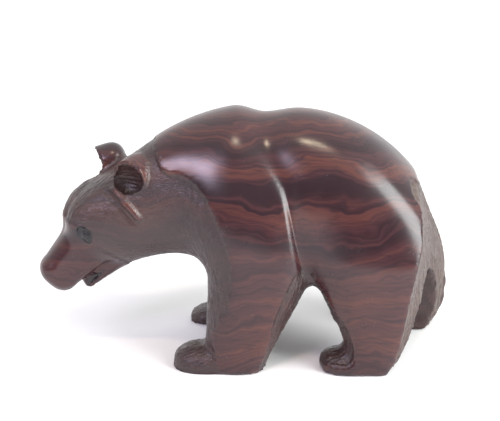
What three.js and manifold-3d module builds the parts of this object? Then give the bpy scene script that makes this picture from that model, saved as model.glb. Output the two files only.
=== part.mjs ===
// A walking bear with its head down, carved from one block of dense dark wood.
// Millimetres, +Z up. The nose points to -X and the bear's left side faces -Y.
// The origin is on the ground, under the middle of the bounding box.
//
// The carving is one continuous form. It is written as a field that is negative inside
// the wood: round masses flow into each other, the channel under the belly and the rump
// take wood away, and the skin is drawn where the field is zero. The crisp knife cuts,
// the ear hollows, the eyes and the mouth, are solids of their own that cut that skin.

import * as THREE from 'three';
import { mergeVertices } from 'three/addons/utils/BufferGeometryUtils.js';
import Module from 'manifold-3d';

const { clamp, degToRad, lerp, smoothstep } = THREE.MathUtils;

// Trunk and neck, along X: the line of the back, the belly, half the width,
// the line of the spine in Y, and the height where the body is widest
const BACK_LINE = [[-74, 70], [-56, 86.5], [-34, 102], [-8, 110.4], [6, 108.4], [22, 109.8],
  [36, 107.4], [50, 101.4], [62, 93], [72, 82.5], [80, 70], [96, 34]];
const BELLY_LINE = [[-74, 50], [-56, 43], [-34, 45.5], [-22, 44], [-8, 37], [36, 35], [96, 24]];
const HALF_WIDTH = [[-74, 11], [-56, 18.5], [-34, 22.5], [-8, 32], [22, 31.5], [50, 35], [72, 33.5],
  [96, 24]];
const SPINE_Y = [[-74, -9], [-46, -5.8], [-8, 0], [50, 0.5], [96, 6]];
const WIDEST_Z = [[-74, 60], [-34, 67], [-8, 60], [50, 53], [72, 48], [96, 34]];
const TRUNK_POWER = 2.25;
const TRUNK_END_ROUND = 8;

// Legs, up Z: where the front, back, outer and inner faces stand (outer and inner from the spine)
const FRONT_LEG = {
  front: [[0, -17], [6, -18.5], [24, -18], [42, -18], [68, -25], [96, -30]],
  back: [[0, 8.5], [14, 14.8], [34, 25], [42, 28], [54, 25], [84, 15], [96, 8]],
  outer: [[0, 36.3], [24, 37.9], [42, 37.8], [68, 34.2], [96, 22]],
  inner: [[0, 12], [24, 7], [42, 0], [96, -12]],
};
const HIND_LEG = {
  front: [[0, 43.5], [14, 40.3], [24, 36.4], [42, 29.5], [68, 30], [92, 40]],
  back: [[0, 65.5], [14, 72], [42, 83], [68, 80], [92, 60]],
  outer: [[0, 34.5], [34, 38], [54, 37], [92, 20]],
  inner: [[0, 10], [24, 6], [42, 0], [92, -14]],
};
// The far front leg is a little slimmer, and the far hind leg is a stride behind
const FAR_FRONT_LEG = {
  front: [[0, -15], [6, -16.5], [24, -16], [42, -16], [68, -23], [96, -28]],
  back: [[0, 6.5], [14, 12.8], [34, 23], [42, 26], [54, 23], [84, 13], [96, 6]],
  outer: [[0, 35.8], [24, 37.4], [42, 37.3], [68, 33.7], [96, 21.5]],
  inner: FRONT_LEG.inner,
};
const FAR_HIND_LEG = {
  front: [[0, 58], [16, 53], [40, 40], [54, 33], [92, 40]],
  back: [[0, 88], [16, 94], [40, 95], [54, 90], [68, 80], [92, 60]],
  outer: [[0, 33.5], [16, 35], [40, 35], [68, 31], [92, 20]],
  inner: [[0, 12], [28, 6], [40, 2], [92, -14]],
};
const LEG_POWER = 2.6;
const LEG_TOP_ROUND = 22;
const LEG_BLEND = 7;

// Paws: middle, half sizes and squareness
const PAW_POWER = 2.3;
const PAWS = [
  { at: [-18.5, -25, 2], size: [14.2, 11.6, 8.6], power: PAW_POWER },
  { at: [-17.5, 24, 1], size: [12.5, 10.5, 6.6], power: PAW_POWER },
  { at: [44.2, -24, 2], size: [12.2, 11.2, 8.2], power: PAW_POWER },
  { at: [60, 24.5, 1.6], size: [12, 10.5, 7.6], power: PAW_POWER },
];
const PAW_BLEND = 3;

// The arched channel between the left and right legs
const CHANNEL_Y = 0.5;
const CHANNEL_HALF = [[0, 13.5], [20, 13], [28, 11], [34, 7.5]];
const CHANNEL_TOP = 36;
const CHANNEL_ROUND = 8;
const CHANNEL_EDGE = 3;

// The flank crease between the shoulder and the haunch, up Z. It fades in above the arch
// and widens into the shallow saddle of the back.
const CREASE_X = [[36, 27], [46, 24.3], [72, 18.8], [83, 16.5], [96, 10], [112, 4]];
const CREASE_DEPTH = 1.6;
const CREASE_WIDTH = 3.6;
const CREASE_LEE = 3.2;
const CREASE_START_Z = [40, 50];
const SADDLE_WIDTH = 4;
const SADDLE_START_Z = [70, 105];
const SADDLE_TOP_Z = [92, 108];
const SADDLE_SHALLOWING = 0.6;
const MIDLINE_SHARE = 0.35;
const MIDLINE_HALF_WIDTH = 12;

// The slanting cut of the rump, from the near edge across to the far edge
const RUMP_NEAR = [[0, 64.5], [8, 68.7], [20, 71.5], [36, 73.2], [50, 74.6], [60, 75.2], [78, 73.5],
  [90, 71]];
const RUMP_FAR = [[0, 86.5], [6, 90], [14, 91.8], [22, 91.8], [42, 88], [60, 81.5], [90, 70]];
const RUMP_REACH = 26;
const RUMP_CORNER = 0.9;
const RUMP_TURN = 0.28;
const RUMP_EDGE = 1.2;
const GROUND_EDGE = 1.2;

// Head: its own frame has +a to the nose, +b to the crown and +c to the bear's right
const HEAD_AT = new THREE.Vector3(-62.6, -6, 63.5);
const HEAD_YAW = degToRad(20);
const HEAD_PITCH = degToRad(38);
const SKULL = { at: [-9, -3, 0], size: [23, 17.3, 18.3], power: 2.2 };
const BROW = { at: [4.2, 8.4, 5.5], size: [11.5, 7.2, 9.5], power: 2 };
const MUZZLE = {
  from: [6, -3, 0], to: [32.6, -4.8, 0], base: [12.3, 13.2], tip: [8, 8.1], power: 2.35,
};
const JAW = { from: [-6, -17, 0], to: [25.2, -19, 0], base: [11, 8.5], tip: [6, 3.3], power: 2.2 };
const MUZZLE_BLEND = 6;
const JAW_BLEND = 3.5;
const BROW_BLEND = 8;
const HEAD_BLEND = 6;
const EYE = { at: [12.5, 4, 11.2], size: [3.1, 2.5, 2.7] };
const EYE_SOCKET = { at: [13.5, 4.1, 13], size: [3.9, 3.6, 3] };
const MOUTH_CORNER = [17, -15.8];
const MOUTH_END = 34;
const MOUTH_HALF_WIDTH = 14;
const UPPER_LIP_SLOPE = -0.02;
const LOWER_LIP_SLOPE = -0.25;

// Ears: full-sided cups, hollowed by a ball, with a ridge that runs down the cheek below each
const EARS = [
  { mouth: [-18.2, 12.2, -18.6], facing: [0.62, 0.42, -0.66], length: 14, rim: 8.2, stem: 5.5 },
  { mouth: [-12.8, 14, 14.5], facing: [0.9, 0.25, 0.35], length: 13, rim: 8, stem: 5.5 },
];
const EAR_WALL = 1.6;
const EAR_FULLNESS = 0.2;
const HOLLOW_LIFT = 0.8;
const EAR_RIDGE = { from: [-9.6, 9, 12.8], to: [-11.5, -5.5, 15.9], radius: 2.5 };

// The grid that the skin is drawn on: fine at the head, wider along the body
const HEAD_STEP = 3.2;
const BODY_STEP = 5.2;
const SIDE_STEP = 4.1;
const RISE_STEP = 4.1;
const HEAD_END_X = -44;
const BODY_START_X = -22;
const REACH = { x: [-99, 101], y: [-46, 46], z: [-6, 117] };
const SETTLE_SHARE = 0.35;
const SETTLE_ROUNDS = 4;
const SETTLE_NUDGE = 0.05;
const TINY = 1e-6;
const BALL_SIDES = 14;
const BALL_RINGS = 10;
const EAR_SIDES = 16;
const EAR_RINGS = 4;
const RIDGE_SIDES = 10;
const RIDGE_END_RINGS = 3;

const WOOD = { color: 0x4d3733, roughness: 0.28, metalness: 0 };

// A smooth curve through [position, value] pairs, level past its ends
function through(points) {
  const last = points.length - 1;
  const slopes = points.map((_, i) => {
    const [x0, y0] = points[Math.max(i - 1, 0)];
    const [x1, y1] = points[Math.min(i + 1, last)];
    return (y1 - y0) / (x1 - x0);
  });
  return (position) => {
    const x = clamp(position, points[0][0], points[last][0]);
    let i = 0;
    while (i < last - 1 && x > points[i + 1][0]) i += 1;
    const [x0, y0] = points[i];
    const [x1, y1] = points[i + 1];
    const span = x1 - x0;
    const t = (x - x0) / span;
    const end = t * t * (3 - 2 * t);
    const leave = t * (1 - t) * (1 - t) * span * slopes[i];
    const arrive = t * t * (t - 1) * span * slopes[i + 1];
    return y0 * (1 - end) + y1 * end + leave + arrive;
  };
}

const curves = (profile) => Object.fromEntries(
  Object.entries(profile).map(([name, points]) => [name, through(points)]),
);

// Two fields joined, with a fillet of size k
function join(a, b, k) {
  const overlap = Math.max(k - Math.abs(a - b), 0) / k;
  return Math.min(a, b) - (overlap * overlap * k) / 4;
}

// What is left of field a after the solid b is cut out of it
const cut = (a, b, k) => -join(-a, b, k);

// What is in both fields
const common = (a, b, k) => -join(-a, -b, k);

// How far an offset lies from a rounded outline of the given half sizes
function outline(offsets, sizes, power) {
  let sum = 0;
  let square = 0;
  offsets.forEach((offset, i) => {
    sum += Math.abs(offset / sizes[i]) ** power;
    square += offset * offset;
  });
  return Math.sqrt(square) * (1 - 1 / (sum ** (1 / power) + TINY));
}

function mass(p, { at, size, power }) {
  return outline(p.map((value, i) => value - at[i]), size, power);
}

// A round-ended limb in the head's frame that tapers from base to tip, each given as
// [half across, half deep]
function limb(p, { from, to, base, tip, power }) {
  const start = new THREE.Vector3(...from);
  const axis = new THREE.Vector3(...to).sub(start);
  const along = axis.clone().normalize();
  const side = new THREE.Vector3(0, 0, 1);
  const deep = along.clone().cross(side);
  const q = new THREE.Vector3(...p).sub(start);
  const t = clamp(q.dot(axis) / axis.lengthSq(), 0, 1);
  q.addScaledVector(axis, -t);
  const half = base.map((value, i) => value + (tip[i] - value) * t);
  const sizes = [half[0], half[1], (half[0] + half[1]) / 2];
  return outline([q.dot(side), q.dot(deep), q.dot(along)], sizes, power);
}

const back = through(BACK_LINE);
const belly = through(BELLY_LINE);
const halfWidth = through(HALF_WIDTH);
const spine = through(SPINE_Y);
const widest = through(WIDEST_Z);

function trunk([x, y, z]) {
  const rise = z - widest(x);
  const tall = rise > 0 ? back(x) - widest(x) : widest(x) - belly(x);
  const round = outline([y - spine(x), rise], [halfWidth(x), tall], TRUNK_POWER);
  const ends = Math.max(BACK_LINE[0][0] - x, x - BACK_LINE.at(-1)[0]);
  return common(round, ends, TRUNK_END_ROUND);
}

function leg([x, y, z], shape, side) {
  const front = shape.front(z);
  const rear = shape.back(z);
  const outer = shape.outer(z);
  const inner = shape.inner(z);
  const offsets = [x - (front + rear) / 2, side * y - (outer + inner) / 2];
  const round = outline(offsets, [(rear - front) / 2, (outer - inner) / 2], LEG_POWER);
  return common(round, z - shape.top, LEG_TOP_ROUND);
}

const legs = [[FRONT_LEG, -1], [HIND_LEG, -1], [FAR_FRONT_LEG, 1], [FAR_HIND_LEG, 1]].map(
  ([profile, side]) => ({ side, shape: { ...curves(profile), top: profile.front.at(-1)[0] } }),
);

// The saddle and flank crease: crisp toward the shoulder, easy toward the haunch
const creaseX = through(CREASE_X);
function crease([x, y, z]) {
  const offset = x - creaseX(z);
  const width = CREASE_WIDTH + SADDLE_WIDTH * smoothstep(z, ...SADDLE_START_Z);
  const lee = offset < 0 ? width : width + CREASE_LEE;
  const shallowing = 1 - SADDLE_SHALLOWING * smoothstep(z, ...SADDLE_TOP_Z);
  const depth = CREASE_DEPTH * smoothstep(z, ...CREASE_START_Z) * shallowing;
  const flank = lerp(MIDLINE_SHARE, 1, clamp(Math.abs(y) / MIDLINE_HALF_WIDTH, 0, 1));
  return depth * flank * Math.exp(-((offset / lee) ** 2));
}

const channelHalf = through(CHANNEL_HALF);
const channel = ([, y, z]) => common(
  Math.abs(y - CHANNEL_Y) - channelHalf(z), z - CHANNEL_TOP, CHANNEL_ROUND,
);

const rumpNear = through(RUMP_NEAR);
const rumpFar = through(RUMP_FAR);
function behindRump([x, y, z]) {
  const t = (y + RUMP_REACH) / (2 * RUMP_REACH);
  const past = Math.max(t - RUMP_CORNER, 0);
  const across = t - past + RUMP_TURN * Math.tanh(past / RUMP_TURN);
  return lerp(rumpNear(z), rumpFar(z), across) - x;
}

const cosYaw = Math.cos(HEAD_YAW);
const sinYaw = Math.sin(HEAD_YAW);
const cosPitch = Math.cos(HEAD_PITCH);
const sinPitch = Math.sin(HEAD_PITCH);
const toNose = new THREE.Vector3(-cosPitch * cosYaw, -cosPitch * sinYaw, -sinPitch);
const toCrown = new THREE.Vector3(-sinPitch * cosYaw, -sinPitch * sinYaw, cosPitch);
const toRight = toNose.clone().cross(toCrown);
const headFrame = new THREE.Matrix4().makeBasis(toNose, toCrown, toRight).setPosition(HEAD_AT);

function inHead(p) {
  const q = new THREE.Vector3(...p).sub(HEAD_AT);
  return [q.dot(toNose), q.dot(toCrown), q.dot(toRight)];
}

function head(q) {
  const mirrored = [q[0], q[1], Math.abs(q[2])];
  let d = mass(q, SKULL);
  d = join(d, limb(q, MUZZLE), MUZZLE_BLEND);
  d = join(d, limb(q, JAW), JAW_BLEND);
  return join(d, mass(mirrored, BROW), BROW_BLEND);
}

// The whole bear, before its knife cuts
function bear(p) {
  let d = trunk(p);
  legs.forEach(({ shape, side }) => {
    d = join(d, leg(p, shape, side), LEG_BLEND);
  });
  d += crease(p);
  const paws = Math.min(...PAWS.map((paw) => mass(p, paw)));
  d = join(d, paws, PAW_BLEND);
  d = cut(d, channel(p), CHANNEL_EDGE);
  d = cut(d, behindRump(p), RUMP_EDGE);
  d = join(d, head(inHead(p)), HEAD_BLEND);
  return common(d, -p[2], GROUND_EDGE);
}

// Positions from one end of a range to the other, with a step that may change on the way
function ruler([from, to], stepAt) {
  const marks = [from];
  while (marks.at(-1) < to) marks.push(marks.at(-1) + stepAt(marks.at(-1)));
  return marks;
}

// Moves a point onto the skin, straight down the field's slope
function settle(field, point, reach) {
  const p = [...point];
  for (let round = 0; round < SETTLE_ROUNDS; round += 1) {
    const d = field(p);
    const slope = p.map((_, i) => {
      const ahead = [...p];
      ahead[i] += SETTLE_NUDGE;
      return (field(ahead) - d) / SETTLE_NUDGE;
    });
    const steep = slope.reduce((sum, value) => sum + value * value, TINY);
    p.forEach((value, i) => {
      const moved = value - (d * slope[i]) / steep;
      p[i] = clamp(moved, point[i] - reach, point[i] + reach);
    });
  }
  return p;
}

// A grid cell's corners, numbered by the bits x y z, and its edges and faces
const AXIS_BIT = [4, 2, 1];
const CORNERS = [0, 1, 2, 3, 4, 5, 6, 7];
const EDGES = CORNERS.flatMap(
  (n) => AXIS_BIT.filter((bit) => !(n & bit)).map((bit) => [n, n | bit]),
);
const FACES = AXIS_BIT.flatMap(
  (bit) => [0, bit].map((side) => CORNERS.filter((n) => (n & bit) === side)),
);

// Sorts the edges that the skin crosses in one cell into its separate sheets, so that two
// sheets that pass through the same cell stay apart
function sheets(inside) {
  const crosses = EDGES.map(([a, b]) => inside[a] !== inside[b]);
  const sheetOf = EDGES.map((_, n) => n);
  const link = ([first, second]) => {
    const old = sheetOf[first];
    sheetOf.forEach((sheet, n) => {
      if (sheet === old) sheetOf[n] = sheetOf[second];
    });
  };
  FACES.forEach((face) => {
    const inFace = (n) => EDGES[n].every((corner) => face.includes(corner));
    const onFace = EDGES.map((_, n) => n).filter((n) => crosses[n] && inFace(n));
    if (onFace.length === 2) link(onFace);
    if (onFace.length < 4) return;
    face.filter((corner) => inside[corner]).forEach((corner) => {
      link(onFace.filter((n) => EDGES[n].includes(corner)));
    });
  });
  const found = new Map();
  EDGES.forEach((edge, n) => {
    if (!crosses[n]) return;
    if (!found.has(sheetOf[n])) found.set(sheetOf[n], []);
    found.get(sheetOf[n]).push(edge);
  });
  return [...found.values()];
}

// Draws the skin: one point for each sheet in each cell that the surface crosses, and one
// four-sided face, split along its shorter diagonal, around each grid edge that it crosses
function skin(field, axes) {
  const [nx, ny, nz] = axes.map((marks) => marks.length);
  const index = ([i, j, k]) => (i * ny + j) * nz + k;
  const cornerOf = (cell, n) => cell.map((start, axis) => start + (n & AXIS_BIT[axis] ? 1 : 0));
  const edgeKey = (cell, [a, b]) => (index(cell) * CORNERS.length + a) * CORNERS.length + b;
  const values = new Float64Array(nx * ny * nz);
  const cells = [];
  for (let i = 0; i < nx; i += 1) {
    for (let j = 0; j < ny; j += 1) {
      for (let k = 0; k < nz; k += 1) {
        values[index([i, j, k])] = field([axes[0][i], axes[1][j], axes[2][k]]);
        if (i && j && k) cells.push([i - 1, j - 1, k - 1]);
      }
    }
  }

  const points = [];
  const pointOf = new Map();
  cells.forEach((cell) => {
    const here = CORNERS.map((n) => values[index(cornerOf(cell, n))]);
    if (Math.min(...here) >= 0 || Math.max(...here) < 0) return;
    const reach = SETTLE_SHARE * (axes[0][cell[0] + 1] - axes[0][cell[0]]);
    sheets(here.map((value) => value < 0)).forEach((sheet) => {
      const middle = [0, 0, 0];
      sheet.forEach(([a, b]) => {
        const t = here[a] / (here[a] - here[b]);
        const [from, to] = [cornerOf(cell, a), cornerOf(cell, b)];
        axes.forEach((marks, axis) => {
          const crossing = marks[from[axis]] + (marks[to[axis]] - marks[from[axis]]) * t;
          middle[axis] += crossing / sheet.length;
        });
        pointOf.set(edgeKey(cell, [a, b]), points.length);
      });
      points.push(settle(field, middle, reach));
    });
  });

  const faces = [];
  const gap = (a, b) => Math.hypot(...points[a].map((value, i) => value - points[b][i]));
  const addFace = ([a, b, c, d]) => {
    if (gap(a, c) <= gap(b, d)) faces.push(a, b, c, a, c, d);
    else faces.push(a, b, d, b, c, d);
  };
  cells.filter((cell) => Math.min(...cell) > 0).forEach((cell) => {
    const inside = values[index(cell)] < 0;
    AXIS_BIT.forEach((bit, axis) => {
      const ahead = values[index(cornerOf(cell, bit))] < 0;
      if (inside === ahead) return;
      const [u, v] = [(axis + 1) % 3, (axis + 2) % 3];
      const ring = [[1, 1], [0, 1], [0, 0], [1, 0]].map(([du, dv]) => {
        const neighbour = [...cell];
        neighbour[u] -= du;
        neighbour[v] -= dv;
        const start = du * AXIS_BIT[u] + dv * AXIS_BIT[v];
        return pointOf.get(edgeKey(neighbour, [start, start | bit]));
      });
      addFace(inside ? ring : ring.reverse());
    });
  });

  const geometry = new THREE.BufferGeometry();
  geometry.setAttribute('position', new THREE.Float32BufferAttribute(points.flat(), 3));
  geometry.setIndex(faces);
  return geometry;
}

const wasm = await Module();
wasm.setup();

// A closed geometry as a solid that can be cut and joined, and back again
function solid(geometry) {
  geometry.deleteAttribute('normal');
  geometry.deleteAttribute('uv');
  const merged = mergeVertices(geometry);
  return new wasm.Manifold(new wasm.Mesh({
    numProp: 3,
    vertProperties: merged.attributes.position.array,
    triVerts: merged.index.array,
  }));
}

function geometryOf(body) {
  const { vertProperties, triVerts } = body.getMesh();
  const geometry = new THREE.BufferGeometry();
  geometry.setAttribute('position', new THREE.BufferAttribute(vertProperties, 3));
  geometry.setIndex(new THREE.BufferAttribute(triVerts, 1));
  geometry.computeVertexNormals();
  return geometry;
}

// A geometry built along +Y, turned to point a given way and set in the head's frame
function inHeadFrame(geometry, pointing, at) {
  const turn = new THREE.Quaternion().setFromUnitVectors(new THREE.Vector3(0, 1, 0), pointing);
  return solid(geometry.applyQuaternion(turn).translate(...at).applyMatrix4(headFrame));
}

function ball({ at, size }) {
  const geometry = new THREE.SphereGeometry(1, BALL_SIDES, BALL_RINGS);
  geometry.scale(...size).translate(...at).applyMatrix4(headFrame);
  return solid(geometry);
}

// A cup that tapers from the rim to the stem with full, rounded sides
function earCup({ mouth, facing, length, rim, stem }) {
  const geometry = new THREE.CylinderGeometry(rim, stem, length, EAR_SIDES, EAR_RINGS);
  geometry.translate(0, -length / 2, 0);
  const { position } = geometry.attributes;
  for (let n = 0; n < position.count; n += 1) {
    const swell = 1 - EAR_FULLNESS * Math.sin((Math.PI * position.getY(n)) / length);
    position.setX(n, position.getX(n) * swell);
    position.setZ(n, position.getZ(n) * swell);
  }
  return inHeadFrame(geometry, new THREE.Vector3(...facing).normalize(), mouth);
}

function earHollow({ mouth, facing, rim }) {
  const lift = new THREE.Vector3(...facing).normalize().multiplyScalar(HOLLOW_LIFT);
  const at = lift.add(new THREE.Vector3(...mouth)).toArray();
  return ball({ at, size: Array(3).fill(rim - EAR_WALL) });
}

function earRidge({ from, to, radius }, side) {
  const start = new THREE.Vector3(...from);
  const run = new THREE.Vector3(...to).sub(start);
  const geometry = new THREE.CapsuleGeometry(radius, run.length(), RIDGE_END_RINGS, RIDGE_SIDES);
  const middle = start.addScaledVector(run, 0.5);
  middle.z *= side;
  run.z *= side;
  return inHeadFrame(geometry, run.normalize(), middle.toArray());
}

// The open mouth: a wedge from the corner of the lips, wider toward the nose
function mouthWedge() {
  const [a, b] = MOUTH_CORNER;
  const run = MOUTH_END - a;
  const outlineOfWedge = new THREE.Shape([
    new THREE.Vector2(a, b),
    new THREE.Vector2(MOUTH_END, b + LOWER_LIP_SLOPE * run),
    new THREE.Vector2(MOUTH_END, b + UPPER_LIP_SLOPE * run),
  ]);
  const depth = 2 * MOUTH_HALF_WIDTH;
  const geometry = new THREE.ExtrudeGeometry(outlineOfWedge, { depth, bevelEnabled: false });
  geometry.translate(0, 0, -MOUTH_HALF_WIDTH).applyMatrix4(headFrame);
  return solid(geometry);
}

const onSide = ({ at, size }, side) => ({ at: [at[0], at[1], at[2] * side], size });

// The knife work on the finished skin
function carve(body) {
  let carved = body.subtract(mouthWedge());
  EARS.forEach((shape) => {
    carved = carved.add(earCup(shape)).subtract(earHollow(shape));
  });
  [-1, 1].forEach((side) => {
    carved = carved.add(earRidge(EAR_RIDGE, side));
    carved = carved.subtract(ball(onSide(EYE_SOCKET, side))).add(ball(onSide(EYE, side)));
  });
  return carved;
}

// Stands the carving on the ground with the origin under the middle of its bounding box
function centre(geometry) {
  geometry.computeBoundingBox();
  const middle = geometry.boundingBox.getCenter(new THREE.Vector3());
  geometry.translate(-middle.x, -middle.y, -geometry.boundingBox.min.z);
  return geometry;
}

const axes = [
  ruler(REACH.x, (x) => lerp(HEAD_STEP, BODY_STEP, smoothstep(x, HEAD_END_X, BODY_START_X))),
  ruler(REACH.y, () => SIDE_STEP),
  ruler(REACH.z, () => RISE_STEP),
];

const figure = new THREE.Group();
const form = geometryOf(carve(solid(skin(bear, axes))));
const carving = new THREE.Mesh(centre(form), new THREE.MeshStandardMaterial(WOOD));
carving.name = 'bear';
figure.add(carving);

export default figure;
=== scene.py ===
# %% [markdown]
# A walking bear, carved from one block of dense dark wood. The carver sanded and waxed the
# flanks, the haunches, the muzzle and the backs of the ears, and left every other surface
# covered with short gouge cuts that stand for fur. The look of the carving is the contrast
# between the two: deep soft reflections on the smooth wood, and a broken, glinting surface
# where the gouge went. Both are real shape here, so the cuts are made in the mesh.

import math
import time

import bmesh
import bpy
import numpy as np
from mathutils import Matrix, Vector, kdtree


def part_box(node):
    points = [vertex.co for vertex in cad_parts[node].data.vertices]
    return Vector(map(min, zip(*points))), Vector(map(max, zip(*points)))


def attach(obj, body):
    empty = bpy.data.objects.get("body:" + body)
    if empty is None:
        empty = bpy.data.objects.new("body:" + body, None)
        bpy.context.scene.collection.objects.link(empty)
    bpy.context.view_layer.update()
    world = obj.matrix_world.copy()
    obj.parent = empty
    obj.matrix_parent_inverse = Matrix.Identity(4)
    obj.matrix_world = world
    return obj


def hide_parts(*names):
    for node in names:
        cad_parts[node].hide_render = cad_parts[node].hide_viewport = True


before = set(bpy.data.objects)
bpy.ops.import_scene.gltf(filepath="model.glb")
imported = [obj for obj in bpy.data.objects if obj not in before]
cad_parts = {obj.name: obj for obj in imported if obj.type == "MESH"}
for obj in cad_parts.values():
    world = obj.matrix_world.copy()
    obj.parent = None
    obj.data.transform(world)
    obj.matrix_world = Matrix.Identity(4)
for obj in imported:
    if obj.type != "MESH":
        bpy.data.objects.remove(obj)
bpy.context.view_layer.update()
started = time.time()

# %% [markdown]
# The picture was taken from the bear's left side, a little above it, with a longish lens
# about half a metre away. The camera is placed by those three facts. It looks at the middle
# of the bear, and its lens gives the frame of 500 by 421 that the picture has.

# %% Camera
PICTURE_WIDTH, PICTURE_HEIGHT = 500, 421
CAMERA_TURN = math.radians(3)
CAMERA_RISE = math.radians(19)
CAMERA_DISTANCE = 0.52
LOOK_AT = Vector((0.0004, 0.0, 0.0635))
FOCAL_PIXELS = 1170
SENSOR_WIDTH = 36


def place_camera():
    """Puts the camera where the picture was taken from."""
    data = bpy.data.cameras.new("picture camera")
    data.sensor_width = SENSOR_WIDTH
    data.lens = SENSOR_WIDTH * FOCAL_PIXELS / PICTURE_WIDTH
    data.clip_start = 0.01
    camera = bpy.data.objects.new("picture camera", data)
    back = Vector((
        math.sin(CAMERA_TURN) * math.cos(CAMERA_RISE),
        -math.cos(CAMERA_TURN) * math.cos(CAMERA_RISE),
        math.sin(CAMERA_RISE),
    ))
    camera.location = LOOK_AT + back * CAMERA_DISTANCE
    camera.rotation_euler = back.to_track_quat("Z", "Y").to_euler()
    bpy.context.scene.collection.objects.link(camera)
    bpy.context.scene.camera = camera
    return camera


camera = place_camera()
print("lens:", round(camera.data.lens, 1), "mm")

# %% [markdown]
# Box modelling would be slow for a body with so few flat faces, and separate spheres would
# show seams. A field is quicker to steer: a function that is negative inside the wood and
# positive outside. Round masses are joined with a fillet, the channel between the legs and
# the slanting rump are cut away, and the skin lies where the field is zero. Millimetres are
# used in the field, with the nose toward -X and the bear's left side toward -Y.

# %% Curves and fillets
TINY = 1e-9


def through(points):
    """A smooth curve through (position, value) pairs, level past its ends."""
    x, y = np.array(points, float).T
    slope = np.empty_like(y)
    slope[1:-1] = (y[2:] - y[:-2]) / (x[2:] - x[:-2])
    slope[0] = (y[1] - y[0]) / (x[1] - x[0])
    slope[-1] = (y[-1] - y[-2]) / (x[-1] - x[-2])

    def curve(position):
        p = np.clip(position, x[0], x[-1])
        i = np.clip(np.searchsorted(x, p, side="right") - 1, 0, len(x) - 2)
        span = x[i + 1] - x[i]
        t = (p - x[i]) / span
        end = t * t * (3 - 2 * t)
        leave = t * (1 - t) ** 2 * span * slope[i]
        arrive = t * t * (t - 1) * span * slope[i + 1]
        return y[i] * (1 - end) + y[i + 1] * end + leave + arrive

    return curve


def join(a, b, k):
    """Two fields joined, with a fillet of size k."""
    overlap = np.maximum(k - np.abs(a - b), 0) / k
    return np.minimum(a, b) - overlap * overlap * k / 4


def common(a, b, k):
    """What is in both fields."""
    return -join(-a, -b, k)


def cut(a, b, k):
    """What is left of a when b is cut out of it."""
    return -join(-a, b, k)


def ramp(value, start, end):
    """0 before start and 1 after end, with a soft rise between them."""
    t = np.clip((value - start) / (end - start), 0, 1)
    return t * t * (3 - 2 * t)


def unit(vectors):
    return vectors / np.maximum(np.linalg.norm(vectors, axis=-1, keepdims=True), TINY)


def outline(offsets, sizes, power):
    """How far each offset lies from a rounded outline of the given half sizes."""
    reach = (np.abs(offsets / sizes) ** power).sum(-1) ** (1 / power) + TINY
    return np.linalg.norm(offsets, axis=-1) * (1 - 1 / reach)


def mass(p, at, size, power=2.0):
    return outline(p - np.array(at, float), np.array(size, float), power)


def limb(p, start, end, base, tip, power):
    """A round-ended limb that tapers from base to tip, each (half across, half deep)."""
    start, end, base, tip = (np.array(v, float) for v in (start, end, base, tip))
    axis = end - start
    along = unit(axis)
    side = np.array((0.0, 0.0, 1.0))
    deep = np.cross(along, side)
    q = p - start
    t = np.clip(q @ axis / (axis @ axis), 0, 1)[:, None]
    q = q - t * axis
    half = base + (tip - base) * t
    offsets = np.stack([q @ side, q @ deep, q @ along], -1)
    sizes = np.concatenate([half, half.mean(-1, keepdims=True)], -1)
    return outline(offsets, sizes, power)


# %% Trunk and legs
# Along X: the line of the back, the belly, half the width, the spine and the widest height
back_line = through([(-74, 70), (-56, 86.5), (-34, 102), (-8, 110.4), (6, 108.4), (22, 109.8),
                     (36, 107.4), (50, 101.4), (62, 93), (72, 82.5), (80, 70), (96, 34)])
belly_line = through([(-74, 50), (-56, 43), (-34, 45.5), (-22, 44), (-8, 37), (36, 35), (96, 24)])
half_width = through([(-74, 11), (-56, 18.5), (-34, 22.5), (-8, 32), (22, 31.5), (50, 35),
                      (72, 33.5), (96, 24)])
spine_y = through([(-74, -9), (-46, -5.8), (-8, 0), (50, 0.5), (96, 6)])
widest_z = through([(-74, 60), (-34, 67), (-8, 60), (50, 53), (72, 48), (96, 34)])
TRUNK_X = (-74, 96)
TRUNK_POWER = 2.25
TRUNK_END_ROUND = 8


def trunk(p):
    x = p[:, 0]
    middle = widest_z(x)
    rise = p[:, 2] - middle
    tall = np.where(rise > 0, back_line(x) - middle, middle - belly_line(x))
    offsets = np.stack([p[:, 1] - spine_y(x), rise], -1)
    round_body = outline(offsets, np.stack([half_width(x), tall], -1), TRUNK_POWER)
    return common(round_body, np.maximum(TRUNK_X[0] - x, x - TRUNK_X[1]), TRUNK_END_ROUND)


# Up Z: the front, back, outer and inner faces of each leg, outer and inner from the spine
FRONT_LEG = dict(
    side=-1, top=96,
    front=through([(0, -17), (6, -18.5), (24, -18), (42, -18), (68, -25), (96, -30)]),
    back=through([(0, 8.5), (14, 14.8), (34, 25), (42, 28), (54, 25), (84, 15), (96, 8)]),
    outer=through([(0, 36.3), (24, 37.9), (42, 37.8), (68, 34.2), (96, 22)]),
    inner=through([(0, 12), (24, 7), (42, 0), (96, -12)]),
)
HIND_LEG = dict(
    side=-1, top=92,
    front=through([(0, 43.5), (14, 40.3), (24, 36.4), (42, 29.5), (68, 30), (92, 40)]),
    back=through([(0, 65.5), (14, 72), (42, 83), (68, 80), (92, 60)]),
    outer=through([(0, 34.5), (34, 38), (54, 37), (92, 20)]),
    inner=through([(0, 10), (24, 6), (42, 0), (92, -14)]),
)
FAR_FRONT_LEG = dict(
    side=1, top=96,
    front=through([(0, -15), (6, -16.5), (24, -16), (42, -16), (68, -23), (96, -28)]),
    back=through([(0, 6.5), (14, 12.8), (34, 23), (42, 26), (54, 23), (84, 13), (96, 6)]),
    outer=through([(0, 35.8), (24, 37.4), (42, 37.3), (68, 33.7), (96, 21.5)]),
    inner=FRONT_LEG["inner"],
)
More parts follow.
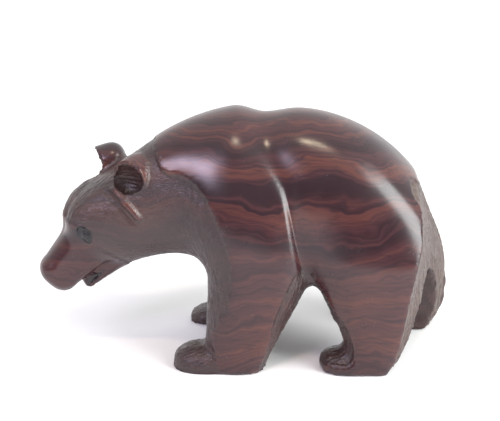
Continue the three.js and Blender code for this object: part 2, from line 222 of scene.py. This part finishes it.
FAR_HIND_LEG = dict(
    side=1, top=92,
    front=through([(0, 58), (16, 53), (40, 40), (54, 33), (92, 40)]),
    back=through([(0, 88), (16, 94), (40, 95), (54, 90), (68, 80), (92, 60)]),
    outer=through([(0, 33.5), (16, 35), (40, 35), (68, 31), (92, 20)]),
    inner=through([(0, 12), (28, 6), (40, 2), (92, -14)]),
)
LEGS = (FRONT_LEG, HIND_LEG, FAR_FRONT_LEG, FAR_HIND_LEG)
LEG_POWER = 2.6
LEG_TOP_ROUND = 22
LEG_BLEND = 7

PAWS = (
    ((-18.5, -25, 2), (14.2, 11.6, 8.6)),
    ((-17.5, 24, 1), (12.5, 10.5, 6.6)),
    ((44.2, -24, 2), (12.2, 11.2, 8.2)),
    ((60, 24.5, 1.6), (12, 10.5, 7.6)),
)
PAW_POWER = 2.3
PAW_BLEND = 3


def leg(p, shape):
    z = p[:, 2]
    front, rear, outer, inner = (shape[face](z) for face in ("front", "back", "outer", "inner"))
    offsets = np.stack([p[:, 0] - (front + rear) / 2, shape["side"] * p[:, 1] - (outer + inner) / 2], -1)
    round_leg = outline(offsets, np.stack([(rear - front) / 2, (outer - inner) / 2], -1), LEG_POWER)
    return common(round_leg, z - shape["top"], LEG_TOP_ROUND)


# %% Crease, channel and rump
crease_x = through([(36, 27), (46, 24.3), (72, 18.8), (83, 16.5), (96, 10), (112, 4)])
CREASE_DEPTH = 1.6
CREASE_WIDTH = 1.3
CREASE_LEE = 3.4
SADDLE_WIDTH = 4.5
CHANNEL_Y = 0.5
CHANNEL_TOP = 36
channel_half = through([(0, 13.5), (20, 13), (28, 11), (34, 7.5)])
rump_near = through([(0, 64.5), (8, 68.7), (20, 71.5), (36, 73.2), (50, 74.6), (60, 75.2),
                     (78, 73.5), (90, 71)])
rump_far = through([(0, 86.5), (6, 90), (14, 91.8), (22, 91.8), (42, 88), (60, 81.5), (90, 70)])
RUMP_REACH = 26
RUMP_CORNER = 0.9
RUMP_TURN = 0.28


def crease(p):
    """The valley between the shoulder roll and the haunch: crisp in front, easy behind."""
    z = p[:, 2]
    offset = p[:, 0] - crease_x(z)
    width = CREASE_WIDTH + SADDLE_WIDTH * ramp(z, 70, 105)
    lee = np.where(offset < 0, width, width + CREASE_LEE)
    depth = CREASE_DEPTH * ramp(z, 40, 50) * (1 - 0.6 * ramp(z, 92, 108))
    flank = 0.35 + 0.65 * np.clip(np.abs(p[:, 1]) / 12, 0, 1)
    return depth * flank * np.exp(-((offset / lee) ** 2))


def channel(p):
    y, z = p[:, 1], p[:, 2]
    return common(np.abs(y - CHANNEL_Y) - channel_half(z), z - CHANNEL_TOP, 8)


def behind_rump(p):
    """The slanting cut of the rump, from the near edge across to the far edge."""
    t = (p[:, 1] + RUMP_REACH) / (2 * RUMP_REACH)
    past = np.maximum(t - RUMP_CORNER, 0)
    across = t - past + RUMP_TURN * np.tanh(past / RUMP_TURN)
    z = p[:, 2]
    return rump_near(z) + (rump_far(z) - rump_near(z)) * across - p[:, 0]


# %% [markdown]
# The head is turned toward the camera and tipped down, so it is easier to model in axes of
# its own: a to the nose, b to the crown and c to the bear's right. Points are turned into
# those axes, and the skull, brows, muzzle and jaw are placed there as if the head were level.

# %% Head
HEAD_AT = np.array((-62.6, -6, 63.5))
HEAD_YAW = math.radians(20)
HEAD_PITCH = math.radians(38)
TO_NOSE = -np.array((math.cos(HEAD_PITCH) * math.cos(HEAD_YAW),
                     math.cos(HEAD_PITCH) * math.sin(HEAD_YAW), math.sin(HEAD_PITCH)))
TO_CROWN = np.array((-math.sin(HEAD_PITCH) * math.cos(HEAD_YAW),
                     -math.sin(HEAD_PITCH) * math.sin(HEAD_YAW), math.cos(HEAD_PITCH)))
HEAD_AXES = np.stack([TO_NOSE, TO_CROWN, np.cross(TO_NOSE, TO_CROWN)])

EARS = (
    dict(mouth=(-17.6, 12.0, -18.4), facing=(0.72, 0.16, -0.68), length=14, rim=8.0, stem=5.5),
    dict(mouth=(-11.0, 15.0, 12.5), facing=(0.93, 0.3, 0.22), length=12.5, rim=8.2, stem=7.2),
)
EAR_BACK_ROUND = 6
EAR_RIM_ROUND = 0.5
EAR_WALL = 1.2
HOLLOW_DEEP = 4.4
HOLLOW_SHIFT = (0.6, -0.3, 0)
RIDGE_A = -9.6
EYE_AT = (13.0, 4.2, 13.6)
EYE_LONG = (0.28, -0.87, 0.40)
EYE_SOCKET_SIZE = (3.3, 4.7, 3.2)
EYE_BALL_SIZE = (1.75, 3.2, 1.9)
EYE_BALL_SHIFT = (0.85, 0.3, -1.5)
MOUTH_CORNER = (17.6, -17.2)
MOUTH_UPPER_SLOPE = 0.21
MOUTH_LOWER_SLOPE = -0.16
MOUTH_CORE = 4.2


def in_head(p):
    return (p - HEAD_AT) @ HEAD_AXES.T


def ear_fields(q, shape):
    """The cup of one ear, and the hollow in it."""
    mouth = np.array(shape["mouth"], float)
    facing = unit(np.array(shape["facing"], float))

    def around(centre):
        behind = (centre - q) @ facing
        return behind, np.linalg.norm(q - centre + behind[:, None] * facing, axis=1)

    behind, aside = around(mouth)
    t = np.clip(behind / shape["length"], 0, 1)
    radius = shape["rim"] + (shape["stem"] - shape["rim"]) * t * t
    cup = common(aside - radius, behind - shape["length"], EAR_BACK_ROUND)
    cup = common(cup, -behind, EAR_RIM_ROUND)
    offsets = np.stack(around(mouth + np.array(HOLLOW_SHIFT)), -1)
    hollow = outline(offsets, np.array((HOLLOW_DEEP, shape["rim"] - EAR_WALL)), 2.0)
    return cup, hollow


def ear_ridge(mirrored):
    """The height of the fold that runs down from each ear, with a groove in front of it."""
    a, b, c = mirrored.T
    fold = 1.5 * np.exp(-(((a - RIDGE_A) / 1.5) ** 2)) - 1.0 * np.exp(-(((a - RIDGE_A - 2.7) / 1.1) ** 2))
    return fold * ramp(b, -5, 0) * ramp(-b, -14.5, -12) * ramp(c, 9, 12)


def eye_fields(mirrored):
    """The socket and the ball of an eye, as ovals that tilt with the brow."""
    long_axis = unit(np.array(EYE_LONG))
    out = unit(np.cross(long_axis, np.cross((0.35, 0.25, 1.0), long_axis)))
    axes = np.stack([np.cross(long_axis, out), long_axis, out])
    q = (mirrored - np.array(EYE_AT)) @ axes.T
    socket = mass(q, (0, 0, 0.4), EYE_SOCKET_SIZE)
    ball = mass(q, EYE_BALL_SHIFT, EYE_BALL_SIZE)
    return socket, ball


def mouth_wedge(q):
    """A wedge cut into each side of the jaw, which stops at a core of wood."""
    corner_a, corner_b = MOUTH_CORNER
    run = q[:, 0] - corner_a
    rise = q[:, 1] - corner_b
    wedge = np.maximum(rise - MOUTH_UPPER_SLOPE * run, MOUTH_LOWER_SLOPE * run - rise)
    return np.maximum(wedge, MOUTH_CORE - np.abs(q[:, 2]))


def head(q, mirrored):
    d = mass(q, (-9, -3, 0), (23, 17.3, 18.3), 2.2)
    d = join(d, limb(q, (6, -3.4, 0), (31.8, -5.9, 0), (12.3, 13.4), (8, 9.2), 2.6), 6)
    d = join(d, limb(q, (-6, -17, 0), (25.2, -18.3, 0), (11, 8.9), (5.8, 3.0), 2.2), 2.5)
    d = join(d, mass(mirrored, (4.2, 8.4, 5.5), (11.5, 7.2, 9.5)), 8)
    socket, ball = eye_fields(mirrored)
    d = np.minimum(cut(d, socket, 0.3), ball)
    return cut(d, mouth_wedge(q), 0.2)


# %% The whole form
def form(p):
    """The finished carving without its fur cuts."""
    d = trunk(p)
    for shape in LEGS:
        d = join(d, leg(p, shape), LEG_BLEND)
    d = d + crease(p)
    for at, size in PAWS:
        d = join(d, mass(p, at, size, PAW_POWER), PAW_BLEND)
    d = cut(d, channel(p), 3)
    d = cut(d, behind_rump(p), 0.9)
    q = in_head(p)
    mirrored = q * (1, 1, 0) + np.abs(q) * (0, 0, 1)
    d = join(d, head(q, mirrored), 6) - ear_ridge(mirrored)
    for shape in EARS:
        cup, hollow = ear_fields(q, shape)
        d = cut(join(d, cup, 2.0), hollow, 0.4)
    return common(d, -p[:, 2], 1.0)

# %% [markdown]
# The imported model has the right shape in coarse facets. A copy of it is the starting block:
# its loose triangles are merged, and the Remesh modifier turns them into an even net of
# small squares. Each point of that net then slides down the slope of the field until it
# lies on the skin, and a little smoothing in between keeps the squares even.

# %% Starting block
NET_STEP = 1.4
FORM_MIDDLE = np.array((-0.18, -0.43, 0.0))
MM = 1000.0

low, high = (np.array(corner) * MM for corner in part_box("bear"))
FORM_SHIFT = np.array(((low[0] + high[0]) / 2, (low[1] + high[1]) / 2, low[2])) - FORM_MIDDLE


def points_of(bm):
    """The points of a bmesh in the field's own millimetres."""
    return np.array([vert.co for vert in bm.verts]) * MM - FORM_SHIFT


def place_points(bm, p):
    for vert, place in zip(bm.verts, (p + FORM_SHIFT) / MM):
        vert.co = place


def even_net():
    """The frame's bear as an even net of small squares."""
    start = bpy.data.objects.new("starting block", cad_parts["bear"].data.copy())
    bpy.context.scene.collection.objects.link(start)
    bm = bmesh.new()
    bm.from_mesh(start.data)
    bmesh.ops.remove_doubles(bm, verts=bm.verts, dist=1e-6)
    bm.to_mesh(start.data)
    bm.free()
    remesh = start.modifiers.new("even net", "REMESH")
    remesh.mode = "VOXEL"
    remesh.voxel_size = NET_STEP / MM
    shaped = start.evaluated_get(bpy.context.evaluated_depsgraph_get())
    bm = bmesh.new()
    bm.from_mesh(shaped.to_mesh())
    shaped.to_mesh_clear()
    bpy.data.objects.remove(start)
    return bm


# %% Settling the net on the form
SLOPE_STEP = 0.02
LONGEST_MOVE = 1.2


def slope_of(p, d):
    """The field's slope at each point."""
    ahead = [form(p + SLOPE_STEP * axis) - d for axis in np.eye(3)]
    return np.stack(ahead, -1) / SLOPE_STEP


def settle(p, rounds):
    """Slides points down the field's slope until they lie on the skin."""
    for _ in range(rounds):
        d = form(p)
        slope = slope_of(p, d)
        step = d[:, None] * slope / np.maximum((slope ** 2).sum(-1, keepdims=True), 0.1)
        size = np.linalg.norm(step, axis=1, keepdims=True)
        p = p - step * np.minimum(1, LONGEST_MOVE / np.maximum(size, TINY))
    return p


def relax(bm, times, rounds):
    """Evens out the net, then settles it again."""
    for _ in range(times):
        bmesh.ops.smooth_vert(bm, verts=bm.verts, factor=0.5, use_axis_x=True,
                              use_axis_y=True, use_axis_z=True)
        place_points(bm, settle(points_of(bm), rounds))


bear_net = even_net()
place_points(bear_net, settle(points_of(bear_net), 2))
relax(bear_net, 2, 1)
print("even net:", len(bear_net.verts), "points,", round(time.time() - started, 1), "s")

# %% [markdown]
# Where the carver stopped sanding, the fur begins, and those borders are as much a part of
# the design as the outline. Each border is a curve over the side of the bear. A zone is
# written as a depth in millimetres: positive inside the fur and negative on smooth wood.

# %% Borders between fur and smooth wood
shoulder_edge = through([(0, -13), (8, -13.8), (14, -14.8), (20, -15), (26, -12), (31, -8),
                         (40, -6.8), (49, -6.7), (58, -7.5), (63, -9.6), (70, -12.6), (77, -16.1),
                         (83, -21.3), (86.2, -28), (87.5, -34.5), (90, -37), (93, -38.8), (100, -43)])
face_edge = through([(-24, 8), (-18.6, 8.5), (-10.3, 11), (-5, 12.3), (-1, 13.2), (3.5, 11.9),
                     (8.8, 11.8), (11.4, 14.3), (14, 17)])
arch_front = through([(0, 7.4), (3, 7.2), (11.7, 9.8), (20.4, 11.5), (29.3, 13.6), (36.2, 16.1),
                      (43.5, 19.3), (46.2, 21.4), (48, 23.9)])
arch_back = through([(4.8, 43.5), (6, 45), (8, 46), (12.6, 46.2), (18, 44.8), (24.6, 42.3),
                     (27, 39.5), (32, 36), (38.6, 31.5), (44.8, 28.1), (48, 24.2)])
rump_top = through([(0, 72.5), (3, 74.5), (6, 79), (10, 82.5), (15, 83), (20, 80.5), (26, 77), (34, 70)])
ARCH_TOP = 48.5
SOLE_BAND = 5.2
SOLE_BAND_X = 31
RUMP_LIP = 0.35
RUMP_TOP_LIP = 3
INNER_LIP = 3
GROUND_LIP = 0.6
FACE_END_X = -50
FAR_OFF = 99


def zones(p):
    """How deep each point lies in each zone of fur, in millimetres."""
    x, y, z = p.T
    q = in_head(p)
    far = y > 0
    behind_face = face_edge(q[:, 1]) - q[:, 0] + FAR_OFF * (x > FACE_END_X)
    front = np.minimum(shoulder_edge(z) - x, behind_face)
    stride = np.where(far, FAR_HIND_LEG["front"](z) - HIND_LEG["front"](z), 0)
    arch = np.minimum(x - arch_front(z) + 2 * far, arch_back(z) + stride - x)
    arch = np.minimum(arch, ARCH_TOP - z)
    sole = np.where(x > SOLE_BAND_X + stride, z - SOLE_BAND, GROUND_LIP + z)
    arch = np.minimum(arch, sole)
    lip = RUMP_LIP + RUMP_TOP_LIP * ramp(z, 72, 80)
    rump = np.minimum(lip - behind_rump(p), rump_top(np.abs(y + 1)) - z)
    inner = INNER_LIP - channel(p)
    return dict(front=front, arch=arch, rump=rump, inner=inner)


def fur_depth(p):
    """How deep each point lies in any fur, with the polished ears and ridges left out."""
    deep = np.max(list(zones(p).values()), axis=0)
    q = in_head(p)
    mirrored = q * (1, 1, 0) + np.abs(q) * (0, 0, 1)
    for shape in EARS:
        cup, hollow = ear_fields(q, shape)
        deep = np.minimum(deep, np.maximum(cup - 0.6, 0.7 - hollow))
    deep = np.minimum(deep, 0.5 - ear_ridge(mirrored))
    return np.minimum(deep, p[:, 2] - GROUND_LIP)


# %% Finer net where there is more to show
def socket_and_ball(p):
    q = in_head(p)
    return eye_fields(q * (1, 1, 0) + np.abs(q) * (0, 0, 1))


def net_level(p):
    """How many times the net is cut finer at each point: 0, 1 or 2."""
    x, y, z = p.T
    q = in_head(p)
    zone = zones(p)
    seen = np.max([zone[name] for name in ("front", "arch", "rump")], axis=0)
    to_crease = np.abs(x - crease_x(z)) + FAR_OFF * ((z < 40) | (z > 96))
    cup, hollow = np.min([ear_fields(q, shape) for shape in EARS], axis=0)
    to_eye = np.abs(socket_and_ball(p)[0])
    to_mouth = np.abs(mouth_wedge(q))
    fine = ((fur_depth(p) > -1.1) & (seen > -1.1)) | (to_crease < 1.6) | (cup < 0.8) | (to_eye < 1.2)
    fine |= to_mouth < 1
    finest = (to_eye < 0.7) | (to_mouth < 0.5) | (np.abs(hollow) + np.maximum(cup, 0) < 0.6)
    return fine.astype(int) + finest


def refine(bm, chosen):
    """Cuts each square whose corners are all chosen into four."""
    flags = [bool(flag) for flag in chosen]
    bm.verts.index_update()
    edges = [edge for edge in bm.edges if all(flags[vert.index] for vert in edge.verts)]
    bmesh.ops.subdivide_edges(bm, edges=edges, cuts=1, use_grid_fill=True)


for level in (1, 2):
    refine(bear_net, net_level(points_of(bear_net)) >= level)
    place_points(bear_net, settle(points_of(bear_net), 2))
    relax(bear_net, 1, 1)
    print("net level", level, len(bear_net.verts), "points,", round(time.time() - started, 1), "s")

# %% [markdown]
# A gouge takes out one narrow scoop at a time, and where two scoops meet they leave a sharp
# ridge. That is what catches the light. So each cut is made on its own: it starts at a
# random point, follows the lie of the fur over the surface, and lowers the points beside
# its path to the bottom of a round groove. Where cuts overlap the deeper one wins, which
# leaves the ridges by itself.

# %% Lie of the fur
rump_lie = through([(0, -0.15), (22, 0.0), (38, 0.35), (55, 0.8), (70, 0.9), (84, 0.5)])


def lie_of_fur(p, zone):
    """The direction in which the gouge was pulled at each point."""
    x, y, z = p.T
    q = in_head(p)
    turn = np.radians(8 + 80 * ramp(x, -48, -16))
    lie = np.stack([np.cos(turn), 0 * x, -np.sin(turn)], -1)
    crown = ramp(q[:, 1], 5, 10) * ramp(q[:, 0], -24, -18)
    beside = ramp(-q[:, 2], 9, 12.5)[:, None]
    over_crown = -0.62 * TO_NOSE + 0.78 * TO_CROWN
    on_crown = over_crown * (1 - beside) + np.array((1.0, 0, -0.05)) * beside
    lie = lie + (on_crown - lie) * crown[:, None]
    paw = (ramp(-z, -14, -9) * ramp(-x, 8, 14))[:, None]
    lie = lie + (np.array((0.9, 0, 0.35)) - lie) * paw
    arch = ramp(zone["arch"], 0, 0.4)[:, None]
    lie = lie + (np.array((-0.42, 0.1, -0.9)) - lie) * arch
    inner = ramp(zone["inner"], 0, 1)[:, None]
    under = np.stack([0.25 + ramp(z, 24, 36), 0 * x, -0.9 * ramp(-z, -36, -24)], -1)
    lie = lie + (under - lie) * inner
    rump = ramp(zone["rump"], 0, 0.4)[:, None]
    across = rump_lie(z)
    behind = np.stack([0.3 * across, across, -np.ones_like(z)], -1)
    return lie + (behind - lie) * rump


# %% Sizes of the cuts
# Length, half width and depth in millimetres
CUTS = dict(
    neck=(3.6, 0.7, 0.34),
    crown=(7.5, 0.85, 0.5),
    chest=(10.0, 0.85, 0.5),
    paw=(6.0, 0.85, 0.5),
    arch=(6.5, 0.8, 0.55),
    inner=(9.0, 1.5, 0.45),
    rump=(19.0, 0.95, 0.75),
)
CUT_STEP = 0.8
TAKEN = 0.8
STRAY = 0.12
OVERRUN = 0.3
SEED = 11


def cut_sizes(p, zone):
    """The length, half width and depth of a cut that starts at each point."""
    x, y, z = p.T
    q = in_head(p)
    sizes = np.tile(CUTS["neck"], (len(p), 1))

    def blend(weight, name):
        sizes[:] = sizes + (np.array(CUTS[name]) - sizes) * weight[:, None]

    blend(ramp(q[:, 1], 5, 10) * ramp(q[:, 0], -24, -18), "crown")
    blend(ramp(x, -34, -24), "chest")
    blend(ramp(-z, -15, -10) * ramp(-x, 8, 14), "paw")
    blend(ramp(zone["arch"], 0, 0.4), "arch")
    blend(ramp(zone["inner"], 0, 1), "inner")
    blend(ramp(zone["rump"], 0, 0.4), "rump")
    return sizes


def gouge(p, normals, deep):
    """How far the fur cuts lower each point."""
    zone = zones(p)
    lie = lie_of_fur(p, zone)
    lie = unit(lie - (lie * normals).sum(-1, keepdims=True) * normals)
    sizes = cut_sizes(p, zone)
    rng = np.random.default_rng(SEED)
    tree = kdtree.KDTree(len(p))
    for index, place in enumerate(p):
        tree.insert(place, index)
    tree.balance()
    lowered = np.zeros(len(p))
    taken = deep < 0
    made = 0
    for start in rng.permutation(len(p)):
        if taken[start]:
            continue
        made += 1
        length, half, depth = sizes[start] * rng.uniform(0.75, 1.25, 3)
        steps = max(2, round(length / CUT_STEP))
        stray = rng.normal(0, STRAY)
        place = p[start]
        for step in range(steps + 1):
            _, nearest, _ = tree.find(place)
            if deep[nearest] < -OVERRUN:
                break
            normal = normals[nearest]
            pull = lie[nearest] + stray * np.cross(normal, lie[nearest])
            place = place - normal * ((place - p[nearest]) @ normal)
            taper = math.sin(math.pi * (step + 0.6) / (steps + 1.2)) ** 0.5
            reach = half * (0.45 + 0.55 * taper)
            near = np.array([index for _, index, _ in tree.find_range(place, reach + CUT_STEP / 2)])
            if len(near):
                offset = p[near] - place
                along = offset @ pull
                across2 = (offset ** 2).sum(1) - along ** 2
                bottom = depth * taper * (1 - across2 / reach ** 2)
                lowered[near] = np.maximum(lowered[near], bottom)
                taken[near[across2 < (TAKEN * reach) ** 2]] = True
            place = place + pull * CUT_STEP
    print("gouge cuts:", made)
    return lowered


# %% Cutting the fur
BORDER_STEP = 0.25
SHOULDER_STEP = 0.7
HIND_TOE_STEP = 0.9


def border_step(p):
    """How far the fur lies below the smooth wood beside it."""
    x, y, z = p.T
    step = BORDER_STEP + SHOULDER_STEP * ramp(z, 74, 84) * ramp(x, -46, -38)
    return step + HIND_TOE_STEP * ramp(x, 34, 38) * ramp(-z, -24, -20) * (z > SOLE_BAND)


p = points_of(bear_net)
d = form(p)
normals = unit(slope_of(p, d))
deep = fur_depth(p)
lowered = gouge(p, normals, deep)
fur = np.maximum(ramp(deep, -0.1, 0.5), ramp(lowered, 0, 0.2))
cut_surface = p - normals * (ramp(deep, -0.1, 0.5) * border_step(p) + lowered)[:, None]
place_points(bear_net, cut_surface)
print("fur cut:", round(time.time() - started, 1), "s")

# %% [markdown]
# The finish of each point, and the shade painted on it, is kept on the mesh as a few numbers
# that the material reads: how furry it is, how deep in a cut it lies (painted darker there),
# how dry and pale the wood is there, and how much painted shade it gets in an eye, mouth or ear.

# %% Finished mesh
def shaded_places(p):
    """Where shade is painted: 1 inside the eye sockets and the mouth, and less in the ears."""
    q = in_head(p)
    socket, ball = socket_and_ball(p)
    shade = ramp(-socket, -0.35, 0.1) * ramp(ball, 0.05, 0.3)
    shade = np.maximum(shade, ramp(-mouth_wedge(q), -0.25, 0.1))
    hollow = np.min([ear_fields(q, shape)[1] for shape in EARS], axis=0)
    cup = np.min([ear_fields(q, shape)[0] for shape in EARS], axis=0)
    return np.maximum(shade, 0.15 * ramp(-hollow, -0.3, 0.2) * ramp(-cup, -1.5, 0))


def finished_bear():
    mesh = bpy.data.meshes.new("carved bear")
    bmesh.ops.recalc_face_normals(bear_net, faces=bear_net.faces)
    bear_net.to_mesh(mesh)
    zone = zones(p)
    values = dict(
        fur=fur,
        cut_depth=np.clip(lowered / 0.6, 0, 1),
        dry=ramp(zone["rump"], 0, 0.6),
        shaded=shaded_places(p),
    )
    for name, value in values.items():
        layer = mesh.attributes.new(name, "FLOAT", "POINT")
        layer.data.foreach_set("value", value.astype(np.float32))
    mesh.shade_smooth()
    piece = bpy.data.objects.new("carved_bear", mesh)
    bpy.context.scene.collection.objects.link(piece)
    return piece


bear = finished_bear()
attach(bear, "root")
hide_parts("bear")
print("triangles:", sum(len(face.verts) - 2 for face in bear_net.faces))

# %% [markdown]
# The wood is close to rosewood: purple brown, nearly black in places, with red brown bands.
# The bands are the yearly rings of the trunk it came from, so they are made as rings, round
# an axis that runs above the bear's back. Where a leg cuts across them they show as fine
# wavy lines, and along the flank they open out into broad patches.

# %% Node helpers
def new_material(name):
    material = bpy.data.materials.new(name)
    material.use_nodes = True
    return material, material.node_tree, material.node_tree.nodes["Principled BSDF"]


def add_node(tree, kind, inputs=None, **settings):
    """A node with its settings, and its inputs either set or linked."""
    node = tree.nodes.new("ShaderNode" + kind)
    for name, value in settings.items():
        setattr(node, name, value)
    for name, value in (inputs or {}).items():
        if isinstance(value, bpy.types.NodeSocket):
            tree.links.new(value, node.inputs[name])
        else:
            node.inputs[name].default_value = value
    return node


def attribute(tree, name):
    return add_node(tree, "Attribute", attribute_name=name).outputs["Fac"]


def remap(tree, value, low, high, new_low=0.0, new_high=1.0):
    """Moves a value from one range into another."""
    return add_node(tree, "MapRange", {"Value": value, "From Min": low, "From Max": high,
                                       "To Min": new_low, "To Max": new_high}).outputs["Result"]


def math_node(tree, operation, first, second):
    return add_node(tree, "Math", {0: first, 1: second}, operation=operation).outputs["Value"]


def noise(tree, vector, scale, detail=2.0, distortion=0.0):
    return add_node(tree, "TexNoise", {"Vector": vector, "Scale": scale, "Detail": detail,
                                       "Distortion": distortion}).outputs["Fac"]


def stretched(tree, vector, scale):
    return add_node(tree, "Mapping", {"Vector": vector, "Scale": scale}).outputs["Vector"]


def mix_colour(tree, factor, first, second, blend="MIX"):
    node = tree.nodes.new("ShaderNodeMix")
    node.data_type = "RGBA"
    node.blend_type = blend
    for socket, value in zip((node.inputs[0], node.inputs[6], node.inputs[7]), (factor, first, second)):
        if isinstance(value, bpy.types.NodeSocket):
            tree.links.new(value, socket)
        else:
            socket.default_value = value
    return node.outputs[2]


# %% Rings of the wood
RING_AXIS = (0.0, 0.03, 0.19)
RING_PITCH = 620


def ring_value(tree, place):
    """A value from 0 to 1 that changes from ring to ring."""
    wander = noise(tree, place, 26, 3.0)
    waver = noise(tree, stretched(tree, place, (45, 120, 120)), 1, 2.0)
    centred = add_node(tree, "Mapping", {"Vector": place, "Location": RING_AXIS, "Scale": (4, 1, 1)},
                       vector_type="TEXTURE")
    distance = add_node(tree, "VectorMath", {0: centred.outputs["Vector"]}, operation="LENGTH").outputs["Value"]
    shifted = math_node(tree, "ADD", distance, math_node(tree, "MULTIPLY", wander, 0.03))
    shifted = math_node(tree, "ADD", shifted, math_node(tree, "MULTIPLY", waver, 0.005))
    fine = add_node(tree, "TexNoise", {"W": shifted, "Scale": RING_PITCH, "Detail": 3.0},
                    noise_dimensions="1D").outputs["Fac"]
    broad = add_node(tree, "TexNoise", {"W": shifted, "Scale": RING_PITCH / 6, "Detail": 1.0},
                     noise_dimensions="1D").outputs["Fac"]
    return math_node(tree, "ADD", math_node(tree, "MULTIPLY", fine, 0.45),
                     math_node(tree, "MULTIPLY", broad, 0.55))


# %% Dark wood
DARK_WOOD = (0.022, 0.010, 0.013, 1)
MID_WOOD = (0.046, 0.017, 0.020, 1)
RED_WOOD = (0.088, 0.030, 0.024, 1)
DRY_WOOD = (0.190, 0.128, 0.098, 1)
# A paler fur colour: painted sheen for the light the rough cuts scatter, and the tone of the darker streaks in
# the dry wood
FUR_SHEEN_AND_TONE = (0.060, 0.040, 0.039, 1)
# The colour of painted shade, laid into the fur cuts, the eye sockets, the mouth and the ear hollows
SHADE = (0.010, 0.009, 0.011, 1)


def wood_material():
    material, tree, shader = new_material("polished dark wood")
    place = add_node(tree, "TexCoord").outputs["Object"]
    rings = ring_value(tree, place)
    patches = noise(tree, place, 17, 2.0)
    figure = math_node(tree, "ADD", rings, math_node(tree, "MULTIPLY", patches, 0.45))
    colours = add_node(tree, "ValToRGB", {"Fac": remap(tree, figure, 0.45, 1.0)})
    ramp_stops = colours.color_ramp.elements
    ramp_stops[0].color, ramp_stops[1].color = DARK_WOOD, RED_WOOD
    ramp_stops[0].position, ramp_stops[1].position = 0.2, 0.85
    middle = ramp_stops.new(0.48)
    middle.color = MID_WOOD
    streaks = noise(tree, stretched(tree, place, (60, 800, 800)), 1, 2.0)
    colour = mix_colour(tree, remap(tree, streaks, 0.52, 0.7, 0, 0.55), colours.outputs["Color"], DARK_WOOD)
    fur_mask, cut_depth = attribute(tree, "fur"), attribute(tree, "cut_depth")
    dry, shaded = attribute(tree, "dry"), attribute(tree, "shaded")
    # Painted sheen: the fur is painted half way toward a paler colour, which stands in for the light its rough
    # cuts scatter
    colour = mix_colour(tree, math_node(tree, "MULTIPLY", fur_mask, 0.5), colour, FUR_SHEEN_AND_TONE)
    tan = mix_colour(tree, remap(tree, streaks, 0.3, 0.7), DRY_WOOD, FUR_SHEEN_AND_TONE)
    colour = mix_colour(tree, math_node(tree, "MULTIPLY", dry, 0.85), colour, tan)
    # Painted shade: the bottoms of the fur cuts are painted darker, the more so the deeper they lie
    colour = mix_colour(tree, math_node(tree, "MULTIPLY", cut_depth, 0.35), colour, SHADE)
    # Painted shade inside the eye sockets, the mouth and the ear hollows
    colour = mix_colour(tree, shaded, colour, SHADE)
    tree.links.new(colour, shader.inputs["Base Color"])
    grain = noise(tree, place, 1500, 3.0)
    rough = remap(tree, noise(tree, place, 140, 3.0), 0.3, 0.7, 0.2, 0.28)
    rough = math_node(tree, "ADD", rough, math_node(tree, "MULTIPLY", fur_mask, 0.06))
    rough = math_node(tree, "ADD", rough, math_node(tree, "MULTIPLY", dry, 0.2))
    tree.links.new(rough, shader.inputs["Roughness"])
    relief = math_node(tree, "MULTIPLY", grain, remap(tree, fur_mask, 0, 1, 0.01, 1))
    bump = add_node(tree, "Bump", {"Height": relief, "Strength": 1.0, "Distance": 0.00025})
    tree.links.new(bump.outputs["Normal"], shader.inputs["Normal"])
    return material


bear.data.materials.append(wood_material())

# %% [markdown]
# The picture was lit by a cool window on the left, a taller white one on the right and a
# small warm lamp overhead, in a pale room. Each is a soft area light, placed where its
# reflection falls on the same part of the flank as in the picture. The room itself is
# brighter behind the bear than in front of it, which keeps the near side dark.

# %% Studio
FLOOR_RADIUS = 3
AIM = Vector((0, 0, 0.06))


def add_floor():
    bm = bmesh.new()
    bmesh.ops.create_circle(bm, cap_ends=True, segments=96, radius=FLOOR_RADIUS)
    mesh = bpy.data.meshes.new("floor")
    bm.to_mesh(mesh)
    bm.free()
    floor = bpy.data.objects.new("floor", mesh)
    bpy.context.scene.collection.objects.link(floor)
    material, tree, shader = new_material("pale paper")
    shader.inputs["Base Color"].default_value = (0.9, 0.9, 0.9, 1)
    shader.inputs["Roughness"].default_value = 0.9
    mesh.materials.append(material)
    return floor


def add_softbox(name, turn, rise, away, size, glow, colour):
    """A soft light at a turn and rise in degrees, as bright as glow."""
    data = bpy.data.lights.new(name, "AREA")
    data.shape = "RECTANGLE"
    data.size, data.size_y = size
    data.energy = glow * math.pi * size[0] * size[1]
    data.color = colour
    turn, rise = math.radians(turn), math.radians(rise)
    toward = Vector((math.sin(turn) * math.cos(rise), -math.cos(turn) * math.cos(rise), math.sin(rise)))
    light = bpy.data.objects.new(name, data)
    light.location = AIM + toward * away
    light.rotation_euler = toward.to_track_quat("Z", "Y").to_euler()
    bpy.context.scene.collection.objects.link(light)
    return light


def add_room():
    """A pale room that is bright overhead and behind, and dimmer in front."""
    world = bpy.data.worlds.new("pale room")
    world.use_nodes = True
    tree = world.node_tree
    direction = add_node(tree, "TexCoord").outputs["Generated"]
    facing = add_node(tree, "VectorMath", {0: direction, 1: (0, 0.8, 0.6)}, operation="DOT_PRODUCT")
    glow = remap(tree, facing.outputs["Value"], -0.75, 0.7, 0.12, 1.25)
    seen = add_node(tree, "LightPath").outputs["Is Camera Ray"]
    colour = mix_colour(tree, seen, glow, (0.98, 0.99, 1.0, 1))
    tree.links.new(colour, tree.nodes["Background"].inputs["Color"])
    bpy.context.scene.world = world


add_floor()
add_softbox("cool window", -36, 33, 1.0, (0.36, 0.24), 15, (0.86, 0.76, 1.0))
add_softbox("white window", 64, 24, 1.0, (0.5, 0.8), 12, (0.97, 1.0, 0.99))
add_softbox("warm lamp", 8, 66, 1.1, (0.2, 0.06), 55, (1.0, 0.8, 0.58))
add_room()
bpy.context.scene.view_settings.view_transform = "Standard"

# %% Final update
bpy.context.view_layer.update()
print("seconds:", round(time.time() - started, 1))
